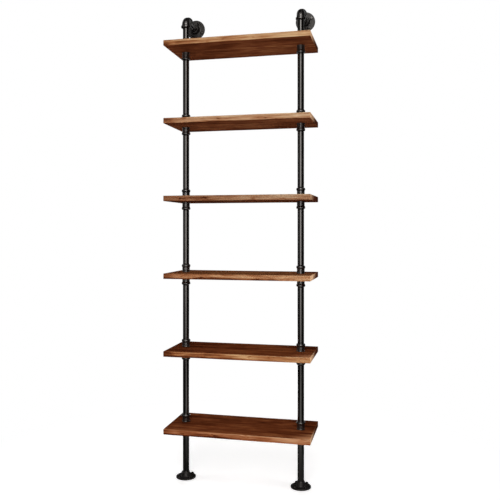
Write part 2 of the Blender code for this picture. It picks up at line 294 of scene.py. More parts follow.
# How light the stain is at each share of the length, from the left end
EDGE_STAIN = [
    (0.0, 0.0), (0.03, 0.04), (0.08, 0.34), (0.16, 0.37), (0.22, 0.3), (0.36, 0.44),
    (0.47, 0.46), (0.55, 0.7), (0.6, 0.73), (0.66, 0.6), (0.78, 0.76), (0.91, 0.92), (1.0, 0.74),
]
FACE_STAIN = [(0.0, 0.26), (0.12, 0.32), (0.35, 0.44), (0.55, 0.66), (0.75, 0.66), (1.0, 0.52)]
# Painted shade from the front to the back of the upper and the lower face: how light each is at
# each share of the depth
TOP_PAINTED_SHADE = [(0.0, 0.85), (0.08, 0.66), (0.2, 0.56), (0.45, 0.5), (0.9, 0.3), (1.0, 0.2)]
UNDER_PAINTED_SHADE = [(0.0, 0.08), (0.15, 0.22), (0.35, 0.44), (0.65, 0.34), (0.85, 0.1), (1.0, 0.0)]
# Heights over which the lower face's painted shade gives way to the upper one's
FACE_TURN = (-0.004, 0.004)
# Heights over which the marks of the upper face alone come in: its lighter corner and its painted
# shadow
ON_TOP = (0.0, 0.008)
# Painted shadow darkens the right rear of the upper face, over these spans of x and y
REAR_X = (0.08, 0.28)
REAR_Y = (-0.03, 0.09)
# Painted shade: a dark band low along the edges, where the lower arris turns away from the light,
# and it weakens to the right
PAINTED_SHADE_SAG = 0.006
PAINTED_SHADE_HEIGHTS = (-0.0105, -0.0045)
PAINTED_SHADE_FADE = (-0.05, 0.25)
PAINTED_SHADE_REST = 0.45
# The right front corner of the upper face is lighter
CORNER_TONE = srgb(208, 144, 100)
CORNER_SLOPE = 0.75
CORNER_RAGGED = 0.03
CORNER_WEDGE = (0.27, 0.36)
# The end faces are lighter towards the front corner
PATCH_TONES = [(0.1, srgb(244, 202, 162)), (0.9, srgb(198, 152, 114))]
PATCH_SLANT = 1.6
PATCH_RAGGED = 0.05
PATCH_REACH = (-0.115, 0.065)
# The arrises are lighter, partly worn to bare wood and partly a painted highlight where they turn
# to the light: how far in, how much more to the right, front and top
WORN_AND_HIGHLIT_TONE = srgb(230, 206, 166)
WORN_AND_HIGHLIT_CHIPS = 0.004
WORN_AND_HIGHLIT_REACH = (0.0024, 0.0038)
WORN_AND_HIGHLIT_ALONG = (-0.05, 0.295)
WORN_AND_HIGHLIT_LEFT = 0.04
WORN_AND_HIGHLIT_ACROSS = (-0.06, 0.0)
WORN_AND_HIGHLIT_REAR = 0.12
WORN_AND_HIGHLIT_UP = (-0.009, 0.004)
# What differs from board to board, from the lowest one up
BOARD_LOOKS = {
    # How much red, green and blue of the tones the stain keeps
    "edge_tint": [
        (1.0, 0.90, 0.87), (1.0, 0.98, 0.87), (1.0, 1.02, 1.02),
        (0.735, 0.795, 0.88), (1.0, 1.14, 1.27), (1.0, 1.08, 1.05),
    ],
    "face_tint": [
        (1.0, 0.94, 0.86), (1.0, 0.92, 0.82), (1.0, 1.06, 1.04),
        (1.0, 1.10, 1.14), (1.0, 1.08, 1.14), (1.0, 1.06, 1.08),
    ],
    # What is added to how light the edges and the faces are
    "edge_shade": [-0.14, -0.11, -0.20, 0.02, -0.03, 0.06],
    # The third board's faces are made lighter as a painted sheen, for its upper face seen at a
    # grazing angle
    "face_shade_and_painted_sheen": [-0.06, -0.06, 0.20, -0.28, -0.04, -0.04],
    # How much the stain varies along the edges
    "edge_contrast": [1.0, 1.0, 1.0, 0.6, 0.75, 0.7],
    # How dark the painted shade low along the edges is
    "band": [0.40, 0.36, 0.28, 0.18, 0.16, 0.14],
    # How much of the corner's lighter tone shows
    "corner": [0.95, 0.85, 0.3, 0.3, 0.4, 0.4],
    # How light the end faces are towards the front corner, and how much further back
    "patch": [0.74, 0.95, 1.0, 0.66, 0.88, 0.84],
    "patch_shift": [-0.01, 0.0, 0.03, -0.03, 0.0, -0.005],
    # How lighter the arrises are at the right end, partly wear and partly painted highlight
    "worn_and_highlit": [0.35, 0.40, 0.20, 0.45, 0.70, 0.70],
}

# Floor and world
FLOOR_SIZE = 60.0
FLOOR_SHADE = 0.86
FLOOR_GLOW = 0.49
FLOOR_FADE = (0.5, 1.3)
AMBIENT = 0.18
# Lamps: place, target, width and height, radiance
LAMPS = {
    "key": ((0.45, -3.2, 1.85), (0.0, 0.0, 1.05), (1.7, 2.6), 5.2),
    "back_fill": ((-0.8, 3.3, 1.0), (0.0, 0.0, 1.0), (2.2, 2.4), 3.6),
    "right_fill": ((3.3, -0.6, 1.0), (0.0, 0.0, 1.0), (1.8, 2.4), 4.2),
    "left_fill": ((-3.3, -0.3, 1.0), (0.0, 0.0, 1.0), (1.8, 2.4), 4.0),
}
# The dark tent that reflections see
TENT_FOOT = 0.02
TENT_RADIUS = 4.2
TENT_HEIGHT = 4.0
TENT_LIFT = 0.002
TENT_STEPS = 64
# The panels that carry the strips of light, over the floor, up the tent and under its top
PANEL_REACH = 3.55
PANEL_HEIGHT = 3.95
PANEL_LIFT = 0.004
STRIP_SOFTNESS = 0.25
STRIP_BACK_FADE = (-0.2, 0.6)
STRIP_TOP_FADE = (PANEL_HEIGHT - 0.1, PANEL_HEIGHT - 0.01)
CEILING_FADE = (1.2, 3.0)
# A strip's light along its way: metres up the wall, and below 0 metres in along the floor
STRIP_START = -3.3
STRIP_LENGTH = 7.3
HIGH_LIGHT = [
    (-3.2, 0.0), (-1.6, 0.01), (-0.6, 0.06), (0.2, 0.22), (0.95, 0.4), (1.73, 0.44),
    (2.47, 0.34), (2.9, 0.5), (3.8, 0.7),
]
SIDE_LIGHT = [
    (-3.2, 0.0), (-0.6, 0.02), (0.2, 0.45), (0.95, 0.9), (1.73, 1.0), (2.47, 0.5), (3.8, 0.6),
]
LOW_LIGHT = [
    (-3.2, 0.25), (-2.3, 0.9), (-1.6, 1.0), (-1.2, 0.7), (0.3, 0.6), (1.2, 0.3), (2.4, 0.0),
]
BACK_LIGHT = [(-3.2, 0.25), (-2.3, 0.9), (-1.6, 1.0), (-0.1, 0.9), (0.25, 0.0), (3.8, 0.0)]
# Strips: degrees from straight in front, half width, radiance, light along the way
STRIPS = [
    (11, 0.90, 13.5, HIGH_LIGHT),
    (18, 0.45, 1.6, LOW_LIGHT),
    (-42, 0.8, 0.9, SIDE_LIGHT),
    (193, 0.6, 4.0, BACK_LIGHT),
    (150, 0.5, 1.5, SIDE_LIGHT),
    (237, 0.5, 1.5, SIDE_LIGHT),
]


def placed(name, data, location=ORIGIN, rotation=STANDING):
    """Return a new object of the scene."""
    item = bpy.data.objects.new(name, data)
    item.location = location
    item.rotation_euler = rotation
    bpy.context.scene.collection.objects.link(item)
    return item


def piece(name, mesh, nodes, location, rotation=STANDING):
    """Place a mesh as a piece that stands for the named solids."""
    item = placed(name, mesh, location, rotation)
    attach(item, "root")
    if nodes:
        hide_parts(*nodes)
    return item


def finish_mesh(mesh, material):
    """Shade a mesh smooth up to its sharp edges and give it its material."""
    mesh.update()
    mesh.shade_smooth()
    mesh.set_sharp_from_angle(angle=SHARP_ANGLE)
    mesh.materials.clear()
    mesh.materials.append(material)
    return mesh


def meshed(name, points, faces, material):
    """Return the finished mesh of points and faces."""
    mesh = bpy.data.meshes.new(name)
    mesh.from_pydata(points, [], faces)
    return finish_mesh(mesh, material)


def skin(name, rings, material, looped=True):
    """Return the mesh of stacked rings, an array of (ring, place round it, xyz).

    A looped stack joins its last ring to its first. Any other is closed by two caps.
    """
    count, facets = rings.shape[:2]
    index = np.arange(count * facets).reshape(count, facets)
    below = index if looped else index[:-1]
    above = np.roll(index, -1, axis=0) if looped else index[1:]
    quads = np.stack([below, np.roll(below, -1, 1), np.roll(above, -1, 1), above], axis=-1)
    faces = quads.reshape(-1, 4).tolist()
    if not looped:
        faces.append(index[0, ::-1].tolist())
        faces.append(index[-1].tolist())
    return meshed(name, rings.reshape(-1, 3).tolist(), faces, material)


def softened(corners):
    """Return the outline of (radius, height, ease) corners, each rounded over its ease.

    A close point before and after each round keeps the shading of the flats flat.
    """
    points = []
    for i, (radius, height, ease) in enumerate(corners):
        here = complex(radius, height)
        if not ease:
            points.append(here)
            continue
        arms = [complex(*corners[k % len(corners)][:2]) - here for k in (i - 1, i + 1)]
        start, end = (here + arm * min(ease / abs(arm), EASE_LIMIT) for arm in arms)
        lead, tail = (
            here + arm * min(LEAD_FACTOR * ease / abs(arm), LEAD_LIMIT) for arm in arms
        )
        shares = [step / ARC_STEPS for step in range(ARC_STEPS + 1)]
        arc = [start * (1 - t) ** 2 + here * 2 * t * (1 - t) + end * t**2 for t in shares]
        points += [lead, *arc, tail]
    return [(point.real, point.imag) for point in points]


def turned_rings(outline, facets):
    """Return the rings of a (radius, height) outline turned about Z, up its outer side."""
    outline = np.array(outline)
    angles = np.arange(facets) / facets * math.tau
    circle = np.stack([np.cos(angles), np.sin(angles)], axis=-1)
    flat = outline[:, None, :1] * circle
    heights = np.broadcast_to(outline[:, None, 1:], (len(outline), facets, 1))
    return np.concatenate([flat, heights], axis=-1)


def threaded(rings, spans, radius, pitch, depth):
    """Cut a thread into the outer side of turned rings over (low, high) spans of height."""
    height = rings[..., 2]
    turn = np.arctan2(rings[..., 1], rings[..., 0]) / math.tau
    groove = 0.5 - 0.5 * np.cos(math.tau * (height / pitch - turn))
    reach = np.hypot(rings[..., 0], rings[..., 1])
    for low, high in spans:
        inside = np.clip((height - low) / THREAD_FADE, 0, 1)
        inside *= np.clip((high - height) / THREAD_FADE, 0, 1)
        cut = np.where(reach > radius - depth / 2, groove * inside * depth, 0)
        rings[..., :2] *= (1 - cut / reach)[..., None]


def rows(low, high, step):
    """Return evenly spaced heights from low to high, about one step apart."""
    return np.linspace(low, high, max(2, round((high - low) / step) + 1)).tolist()


def cut_mesh(mesh, cutters, material):
    """Return the mesh with the shapes of the cutters taken out.

    A cutter is a mesh, and where it isn't at the origin its location and rotation.
    """
    item = placed(mesh.name, mesh)
    tools = []
    for number, cutter in enumerate(cutters):
        tools.append(placed(f"{mesh.name}_cutter_{number}", *cutter))
        boolean = item.modifiers.new("Cut", "BOOLEAN")
        boolean.operation = "DIFFERENCE"
        boolean.object = tools[-1]
    graph = bpy.context.evaluated_depsgraph_get()
    result = bpy.data.meshes.new_from_object(item.evaluated_get(graph))
    result.name = mesh.name
    for tool in tools + [item]:
        bpy.data.objects.remove(tool)
    return finish_mesh(result, material)


class Look:
    """A Principled material, and short calls that add nodes to it."""

    def __init__(self, name):
        self.material = bpy.data.materials.new(name)
        self.material.use_nodes = True
        self.tree = self.material.node_tree
        self.surface = self.tree.nodes["Principled BSDF"]

    def feed(self, socket, value):
        """Link a socket's value, or set it."""
        if isinstance(value, bpy.types.NodeSocket):
            self.tree.links.new(value, socket)
        else:
            socket.default_value = value

    def node(self, kind, inputs, **settings):
        """Add a node with its settings and inputs."""
        item = self.tree.nodes.new("ShaderNode" + kind)
        for key, value in settings.items():
            setattr(item, key, value)
        for key, value in inputs.items():
            self.feed(item.inputs[key], value)
        return item

    def math(self, operation, *values):
        """Return the result of a Math node."""
        return self.node("Math", dict(enumerate(values)), operation=operation).outputs[0]

    def product(self, first, *others):
        """Return the product of values."""
        for other in others:
            first = self.math("MULTIPLY", first, other)
        return first

    def weighted(self, *pairs):
        """Return the sum of (value, weight) pairs."""
        total = 0.0
        for value, weight in pairs:
            total = self.math("MULTIPLY_ADD", value, weight, total)
        return total

    def parts(self, vector):
        """Return the x, y and z of a vector."""
        return self.node("SeparateXYZ", {0: vector}).outputs

    def length(self, vector):
        """Return the length of a vector."""
        return self.node("VectorMath", {0: vector}, operation="LENGTH").outputs["Value"]

    def shifted(self, place, offset):
        """Return the place moved by an offset."""
        return self.node("VectorMath", {0: place, 1: offset}, operation="ADD").outputs[0]

    def scaled(self, place, scale):
        """Return the place multiplied axis by axis."""
        return self.node("VectorMath", {0: place, 1: scale}, operation="MULTIPLY").outputs[0]

    def noise(self, place, density, detail=3.0, roughness=0.5):
        """Return noise with its own number of features per metre along each axis."""
        dense = self.scaled(place, density)
        inputs = {"Vector": dense, "Scale": 1.0, "Detail": detail, "Roughness": roughness}
        return self.node("TexNoise", inputs).outputs["Fac"]

    def spread(self, value, low, high, first=0.0, last=1.0):
        """Return the value spread smoothly from low..high to first..last."""
        inputs = dict(enumerate((value, low, high, first, last)))
        return self.node("MapRange", inputs, interpolation_type="SMOOTHSTEP").outputs["Result"]

    def ramp(self, factor, stops):
        """Return the colour of a ramp of (place, colour) stops."""
        item = self.node("ValToRGB", {"Fac": factor})
        elements = item.color_ramp.elements
        while len(elements) < len(stops):
            elements.new(1)
        for element, (place, colour) in zip(elements, stops):
            element.position = place
            element.color = colour
        return item.outputs["Color"]

    def curve(self, factor, stops):
        """Return the grey of a ramp of (place, share) stops."""
        return self.ramp(factor, [(place, (share, share, share, 1)) for place, share in stops])

    def mix(self, factor, first, second):
        """Return two colours mixed."""
        inputs = {"Factor": factor, 6: first, 7: second}
        return self.node("Mix", inputs, data_type="RGBA").outputs[2]

    def finish(self, colour, roughness, height, depth):
        """Feed the surface: its colour, roughness, and a bump of that height over a depth."""
        bump = self.node("Bump", {"Height": height, "Strength": 1.0, "Distance": depth})
        self.feed(self.surface.inputs["Base Color"], colour)
        self.feed(self.surface.inputs["Roughness"], roughness)
        self.feed(self.surface.inputs["Normal"], bump.outputs["Normal"])
        return self.material

    def finish_bare(self, shader):
        """Put another shader in the place of the Principled one."""
        self.tree.nodes.remove(self.surface)
        self.feed(self.tree.nodes["Material Output"].inputs["Surface"], shader.outputs[0])
        return self.material


def iron_look(name, dark, light, roughness, sway, grain, depth, specular):
    """Black iron between two tones, whose roughness sways and whose grain is per metre."""
    look = Look(name)
    place = look.node("TexCoord", {}).outputs["Object"]
    fine = look.noise(place, grain, roughness=IRON_GRAIN_ROUGHNESS)
    patches = look.noise(place, IRON_PATCH_DENSITY, IRON_PATCH_DETAIL)
    patchy = look.spread(patches, *IRON_PATCH_SPAN)
    blend = look.weighted((patchy, IRON_PATCH_WEIGHT), (fine, IRON_GRAIN_WEIGHT))
    colour = look.ramp(blend, list(zip(IRON_TONE_PLACES, (dark, light))))
    gloss = look.spread(patches, *IRON_GLOSS_SPAN, roughness - sway, roughness + sway)
    look.surface.inputs["Specular IOR Level"].default_value = specular
    look.surface.inputs["Specular Tint"].default_value = IRON_SHEEN
    return look.finish(colour, gloss, fine, depth)


def tinted(stops, tint):
    """Return a ramp's stops with their red, green and blue scaled."""
    return [(place, (*np.multiply(tone[:3], tint).tolist(), 1)) for place, tone in stops]


class WoodLook(Look):
    """Brown stained softwood, whose grain runs along the board."""

    def __init__(self, number):
        super().__init__(f"board_wood_{number}")
        self.own = {name: values[number - 1] for name, values in BOARD_LOOKS.items()}
        coordinates = self.node("TexCoord", {}).outputs
        self.x, self.y, self.z = self.parts(coordinates["Object"])
        self.normal = self.parts(coordinates["Normal"])
        place = self.shifted(coordinates["Object"], [step * number for step in GRAIN_STEP])
        self.patterns = {"plain": 1.0}
        for name, (density, detail, roughness, span) in WOOD_NOISES.items():
            pattern = self.noise(place, density, detail, roughness)
            self.patterns[name] = self.spread(pattern, *span) if span else pattern
        self.patterns["late"] = self.late_wood()
        self.add_stains_and_painted_shade()

    def late_wood(self):
        """Return the dark late wood of the growth rings."""
        across = self.node("CombineXYZ", {1: self.y, 2: self.z}).outputs[0]
        radius = self.length(self.shifted(across, (0, -PITH[0], -PITH[1])))
        rings = self.weighted((radius, 1 / RING_SPACING), (self.patterns["warp"], RING_WARP))
        return self.math("POWER", self.math("FRACT", rings), LATE_WOOD_POWER)

    def add_stains_and_painted_shade(self):
        """Add the patterns of the stain along the board, the painted shade from its front to its
        back, and the painted shadow over the right rear of the upper face.
        """
        along = self.math("MULTIPLY_ADD", self.x, 1 / BOARD_SIZE.x, 0.5)
        self.patterns["edge_stain"] = self.curve(along, EDGE_STAIN)
        self.patterns["face_stain"] = self.curve(along, FACE_STAIN)
        inward = self.math("MULTIPLY_ADD", self.y, 1 / BOARD_SIZE.y, 0.5)
        # Painted shade from the front to the back of the faces
        under, top = self.curve(inward, UNDER_PAINTED_SHADE), self.curve(inward, TOP_PAINTED_SHADE)
        self.patterns["depth_painted_shade"] = self.mix(self.spread(self.z, *FACE_TURN), under, top)
        self.patterns["top"] = self.spread(self.z, *ON_TOP)
        # Painted shadow over the right rear of the upper face
        rear_painted_shadow = self.product(self.spread(self.x, *REAR_X), self.spread(self.y, *REAR_Y))
        self.patterns["rear_painted_shadow"] = self.product(rear_painted_shadow, self.patterns["top"])

    def blend(self, weights):
        """Return the sum of the patterns, each times its weight."""
        return self.weighted(*((self.patterns[name], share) for name, share in weights.items()))

    def edge(self):
        """Return the colour of the long edges, with painted shade in a band low along them."""
        contrast = {"edge_stain": EDGE_WEIGHTS["edge_stain"] * self.own["edge_contrast"]}
        light = self.blend({**EDGE_WEIGHTS, **contrast})
        # Painted shade in a band low along the edge, weaker to the right
        height = self.weighted((self.z, 1.0), (self.patterns["sag"], -PAINTED_SHADE_SAG))
        band = self.spread(height, *PAINTED_SHADE_HEIGHTS, self.own["band"], 0.0)
        band = self.product(band, self.spread(self.x, *PAINTED_SHADE_FADE, 1.0, PAINTED_SHADE_REST))
        light = self.weighted((light, 1.0), (band, -1.0), (1.0, self.own["edge_shade"]))
        return self.ramp(light, tinted(EDGE_TONES, self.own["edge_tint"]))

    def face(self):
        """Return the colour of the upper and the lower face."""
        shade = {"plain": FACE_WEIGHTS["plain"] + self.own["face_shade_and_painted_sheen"]}
        light = self.blend({**FACE_WEIGHTS, **shade})
        face = self.ramp(light, tinted(FACE_TONES, self.own["face_tint"]))
        streak = self.patterns["streak"]
        wedge = self.weighted((self.x, CORNER_SLOPE), (self.y, -1.0), (streak, CORNER_RAGGED))
        corner = self.spread(wedge, *CORNER_WEDGE, 0.0, self.own["corner"])
        return self.mix(self.product(corner, self.patterns["top"]), face, CORNER_TONE)

    def end(self):
        """Return the colour of the end faces, stained and in part lighter."""
        stained = self.ramp(self.blend(END_WEIGHTS), END_TONES)
        lighter_part = self.ramp(self.blend(END_PATCH_WEIGHTS), PATCH_TONES)
        slant = self.weighted((self.y, 1.0), (self.z, -PATCH_SLANT))
        ragged = self.math("MULTIPLY_ADD", self.patterns["ragged"], PATCH_RAGGED, slant)
        limit = self.math("MULTIPLY_ADD", 1.0, -self.own["patch_shift"], ragged)
        patch = self.spread(limit, *PATCH_REACH, self.own["patch"], 0.0)
        return self.mix(patch, stained, lighter_part)

    def wear_and_highlight(self):
        """Return how much lighter the arrises are, partly bare wood and partly painted highlight.
        """
        insets = [
            self.math("SUBTRACT", size / 2, self.math("ABSOLUTE", value))
            for value, size in zip((self.x, self.y, self.z), BOARD_SIZE)
        ]
        inset = self.math("MAXIMUM", self.math("MINIMUM", insets[0], insets[1]), insets[2])
        chipped = self.math("MULTIPLY_ADD", self.patterns["chips"], WORN_AND_HIGHLIT_CHIPS, inset)
        return self.product(
            self.spread(chipped, *WORN_AND_HIGHLIT_REACH, 1.0, 0.0),
            self.spread(self.x, *WORN_AND_HIGHLIT_ALONG, WORN_AND_HIGHLIT_LEFT, self.own["worn_and_highlit"]),
            self.spread(self.y, *WORN_AND_HIGHLIT_ACROSS, 1.0, WORN_AND_HIGHLIT_REAR),
            self.spread(self.z, *WORN_AND_HIGHLIT_UP),
        )


def wood_look(number):
    """The stained wood of a board, all sides of it."""
    look = WoodLook(number)
    on_face = look.spread(look.math("ABSOLUTE", look.normal[2]), *FACE_NORMALS)
    on_end = look.spread(look.math("ABSOLUTE", look.normal[0]), *END_NORMALS)
    colour = look.mix(on_end, look.mix(on_face, look.edge(), look.face()), look.end())
    # Lighter arrises: partly wear, partly painted highlight
    colour = look.mix(look.wear_and_highlight(), colour, WORN_AND_HIGHLIT_TONE)
    gloss = look.spread(look.patterns["streak"], 0.0, 1.0, *WOOD_GLOSS)
    look.surface.inputs["Specular IOR Level"].default_value = 0
    return look.finish(colour, gloss, look.blend(RELIEF_WEIGHTS), RELIEF_DEPTH)


PIPE_LOOK = iron_look(
    "pipe_steel", dark=srgb(8, 7, 6), light=srgb(18, 16, 14), roughness=0.16, sway=0.003,
    grain=(420, 420, 16), depth=0.000001, specular=0.75,
)
FITTING_LOOK = iron_look(
    "fitting_iron", dark=srgb(7, 6, 6), light=srgb(19, 17, 16), roughness=0.33, sway=0.01,
    grain=(800, 800, 800), depth=0.000005, specular=1.0,
)
FLANGE_LOOK = iron_look(
    "flange_iron", dark=srgb(8, 7, 7), light=srgb(20, 18, 17), roughness=0.50, sway=0.02,
    grain=(600, 600, 600), depth=0.000005, specular=0.45,
)
SCREW_LOOK = iron_look(
    "screw_steel", dark=srgb(12, 11, 10), light=srgb(30, 28, 26), roughness=0.26, sway=0.02,
    grain=(1500, 1500, 1500), depth=0.00002, specular=0.75,
)


def board_section(half_depth, half_height, eases):
    """Return the (y, z) points round a board's section, starting at its upper back arris."""
    arcs = []
    for quarter, ease in enumerate(eases):
        ease = min(ease, half_height * ARRIS_LIMIT)
        y_side = 1 if quarter in (0, 3) else -1
        z_side = 1 if quarter < 2 else -1
        centre = (y_side * (half_depth - ease), z_side * (half_height - ease))
        angles = [(quarter + step / ARC_STEPS) * math.pi / 2 for step in range(ARC_STEPS + 1)]
        arcs.append(
            [(centre[0] + ease * math.cos(a), centre[1] + ease * math.sin(a)) for a in angles]
        )
    points = []
    for quarter, arc in enumerate(arcs):
        (y0, z0), (y1, z1) = arc[-1], arcs[(quarter + 1) % 4][0]
        length = math.hypot(y1 - y0, z1 - z0)
        count = FACE_COLUMNS if quarter % 2 == 0 else EDGE_ROWS
        near = min(SUPPORT / length, SUPPORT_LIMIT)
        points += arc
        for share in np.linspace(near, 1 - near, count):
            points.append((y0 + (y1 - y0) * share, z0 + (z1 - z0) * share))
    return points


def board_stations():
    """Return each section's distance from the board's middle and from its nearer end."""
    half = BOARD_SIZE.x / 2
    turns = [step / END_STEPS * math.pi / 2 for step in range(END_STEPS)]
    ends = [CORNER_ARRIS * (1 - math.cos(turn)) for turn in turns]
    left = [-half + inset for inset in ends]
    middle = rows(-half + CORNER_ARRIS, half - CORNER_ARRIS, STATION_STEP)
    right = [half - inset for inset in reversed(ends)]
    return [(x, half - abs(x)) for x in left + middle + right]


def eased_half(half, ease, inset):
    """Return the half size that a rounded corner leaves at an inset from the end."""
    depth = max(ease - inset, 0)
    return half - ease + math.sqrt(ease**2 - depth**2)


def wander(*coordinates):
    """Return smooth noise between about -1 and 1."""
    return noise.noise(Vector(coordinates)) * WANDER_GAIN


def wandering_eases(x, seed):
    """Return how far each arris is rounded at a place along the board."""
    eases = []
    for arris, ease in enumerate(ARRISES.values()):
        drift = sum(
            share * wander(x * waves, seed, arris * step) for share, waves, step in ARRIS_WAVES
        )
        wandered_ease = ease + ARRIS_WANDER * drift * ease / ARRISES["front_bottom"]
        eases.append(max(LEAST_ARRIS, wandered_ease))
    return eases


def wandered(x, y, z, seed):
    """Return a point of a board moved by the slight waves of its front and its faces."""
    sway = wander(x * FRONT_WAVES[0], z * FRONT_WAVES[2] + y * FRONT_WAVES[1], seed + FRONT_SEED)
    swell = wander(x * FACE_WAVES[0], y * FACE_WAVES[1], z * FACE_WAVES[2] + seed)
    return (x, y + FRONT_WANDER * sway, z + FACE_WANDER * swell)


def board_mesh(number, material):
    """A plank with worn arrises that wander, and a hole for each upright."""
    seed = BOARD_SEED * number
    rings = []
    for x, inset in board_stations():
        half_depth = eased_half(BOARD_SIZE.y / 2, CORNER_ARRIS, inset)
        half_height = eased_half(BOARD_SIZE.z / 2, END_ARRIS, inset)
        section = board_section(half_depth, half_height, wandering_eases(x, seed))
        rings.append([(x, y, z) for y, z in section])
    half_depth = BOARD_SIZE.y / 2 - CORNER_ARRIS - CAP_INSET
    half_height = BOARD_SIZE.z / 2 - END_ARRIS - CAP_INSET
    cap = board_section(half_depth, half_height, ARRISES.values())
    left, right = rings[0][0][0], rings[-1][0][0]
    rings = [[(left, y, z) for y, z in cap], *rings, [(right, y, z) for y, z in cap]]
    rings = [[wandered(*point, seed) for point in ring] for ring in rings]
    mesh = skin(f"board_{number}_timber", np.array(rings), material, looped=False)
    hole = turned_rings([(HOLE_RADIUS, -1), (HOLE_RADIUS, 1)], FITTING_FACETS)
    drill = skin("board_drill", hole, material, looped=False)
    centre = (BOARD_BOX[0] + BOARD_BOX[1]) / 2
    holes = [(drill, (x, PIPE_Y - centre.y, 0)) for x in PIPE_X.values()]
    return cut_mesh(mesh, holes, material)


def pipe_mesh(name, length, low_grip, high_grip):
    """A length of pipe, threaded at both ends a little further than it is screwed in."""
    low_end = low_grip + THREAD_SHOWN + THREAD_FADE
    high_start = length - high_grip - THREAD_SHOWN - THREAD_FADE
    step = THREAD_PITCH / THREAD_ROWS
    heights = rows(PIPE_END_CHAMFER, low_end, step) + [low_end + SUPPORT, high_start - SUPPORT]
    heights += rows(high_start, length - PIPE_END_CHAMFER, step)
    inner_end = BORE_RADIUS + PIPE_WALL / 2
    outline = [(inner_end, 0), (PIPE_RADIUS - PIPE_END_CHAMFER, 0)]
    outline += [(PIPE_RADIUS, height) for height in heights]
    outline += [(PIPE_RADIUS - PIPE_END_CHAMFER, length), (inner_end, length)]
    outline += [(BORE_RADIUS, length), (BORE_RADIUS, 0)]
    rings = turned_rings(outline, PIPE_FACETS)
    spans = [(-THREAD_FADE, low_end), (high_start, length + THREAD_FADE)]
    threaded(rings, spans, PIPE_RADIUS, THREAD_PITCH, THREAD_DEPTH)
    return skin(name, rings, PIPE_LOOK)


PIPE_MESHES = {}


def pipe_mesh_of(length, low_grip, high_grip):
    """Return the mesh of such a pipe, made once."""
    key = tuple(round(value, 5) for value in (length, low_grip, high_grip))
    if key not in PIPE_MESHES:
        name = f"pipe_{len(PIPE_MESHES) + 1}"
        PIPE_MESHES[key] = pipe_mesh(name, length, low_grip, high_grip)
    return PIPE_MESHES[key]


def coupling_mesh():
    """A coupling that stands on its rimmed end, with a rounded bead by its free end."""
    body = SOCKET_RADIUS + COUPLING_WALL
    rim = body + COUPLING_RIM_HEIGHT
    crest_high = COUPLING_LENGTH - COUPLING_BEAD_SLOPE
    crest_low = crest_high - COUPLING_BEAD_WIDTH
    corners = [
        (rim, 0, COUPLING_SEAT_EASE),
        (rim, COUPLING_RIM_WIDTH, COUPLING_RIM_EASE),
        (body, COUPLING_RIM_WIDTH + COUPLING_RIM_SLOPE, COUPLING_RIM_EASE),
        (body, crest_low - COUPLING_BEAD_SLOPE, COUPLING_BEAD_FOOT_EASE),
        (COUPLING_BEAD, crest_low, COUPLING_BEAD_EASE),
        (COUPLING_BEAD, crest_high, COUPLING_BEAD_EASE),
        (body, COUPLING_LENGTH, COUPLING_MOUTH_EASE),
        (SOCKET_RADIUS + MOUTH_CHAMFER, COUPLING_LENGTH, 0),
        (SOCKET_RADIUS, COUPLING_LENGTH - MOUTH_CHAMFER, 0),
        (SOCKET_RADIUS, 0, 0),
    ]
    return skin("coupling", turned_rings(softened(corners), FITTING_FACETS), FITTING_LOOK)


def bent(rings):
    """Bend rings that stand along Z a quarter turn towards +Y, from the elbow's bend on."""
    start = -ELBOW_BEND
    y, z = rings[..., 1], rings[..., 2]
    angle = np.clip((z - start) / ELBOW_BEND, 0, math.pi / 2)
    along = z - start - angle * ELBOW_BEND
    arm = ELBOW_BEND - y
    moved_y = ELBOW_BEND - arm * np.cos(angle) + along * np.sin(angle)
    moved_z = start + arm * np.sin(angle) + along * np.cos(angle)
    return np.stack([rings[..., 0], moved_y, moved_z], axis=-1)


def elbow_mesh():
    """The elbow: a bent casting with a rounded band round each mouth, open right through."""
    arc_end = -ELBOW_BEND + ELBOW_BEND * math.pi / 2
    low_mouth, high_mouth = -ELBOW_REACH, arc_end + ELBOW_REACH - ELBOW_BEND
    crest = ELBOW_RADIUS + ELBOW_BEAD_HEIGHT
    band = [
        (SOCKET_RADIUS, 0, 0),
        (ELBOW_RADIUS + ELBOW_LIP, 0, ELBOW_LIP_EASE),
        (crest, ELBOW_BEAD_SLOPE, ELBOW_BEAD_FRONT_EASE),
        (crest, ELBOW_BEAD_SLOPE + ELBOW_BEAD_WIDTH, ELBOW_BEAD_REAR_EASE),
        (ELBOW_RADIUS, 2 * ELBOW_BEAD_SLOPE + ELBOW_BEAD_WIDTH, ELBOW_BEAD_FOOT_EASE),
    ]
    heights = rows(-ELBOW_BEND, arc_end, ELBOW_BEND / ELBOW_STEPS)
    low = [(radius, low_mouth + height, ease) for radius, height, ease in band]
    bend = [(ELBOW_RADIUS, height, 0) for height in heights[1:-1]]
    high = [(radius, high_mouth - height, ease) for radius, height, ease in reversed(band)]
    outside = turned_rings(softened(low + bend + high), FITTING_FACETS)
    body = skin("elbow", bent(outside), FITTING_LOOK, looped=False)
    overrun = ELBOW_BEAD_SLOPE
    way = [low_mouth - overrun, *heights, high_mouth + overrun]
    inside = turned_rings([(BORE_RADIUS, height) for height in way], PIPE_FACETS)
    passage = skin("passage", bent(inside), FITTING_LOOK, looped=False)
    socket = [
        (SOCKET_RADIUS + MOUTH_CHAMFER + overrun, low_mouth - overrun),
        (SOCKET_RADIUS, low_mouth + MOUTH_CHAMFER),
        (SOCKET_RADIUS, ELBOW_GRIP - ELBOW_REACH),
    ]
    mouth = skin("mouth", turned_rings(socket, FITTING_FACETS), FITTING_LOOK, looped=False)
    cutters = [(passage,), (mouth,), (mouth, ORIGIN, LAID_FORWARD)]
    return cut_mesh(body, cutters, FITTING_LOOK)


def screw_places(turn):
    """Return the screws' centres on a flange."""
    angles = [turn + i * math.tau / SCREWS_PER_FLANGE for i in range(SCREWS_PER_FLANGE)]
    return [(SCREW_CIRCLE * math.cos(a), SCREW_CIRCLE * math.sin(a), 0) for a in angles]


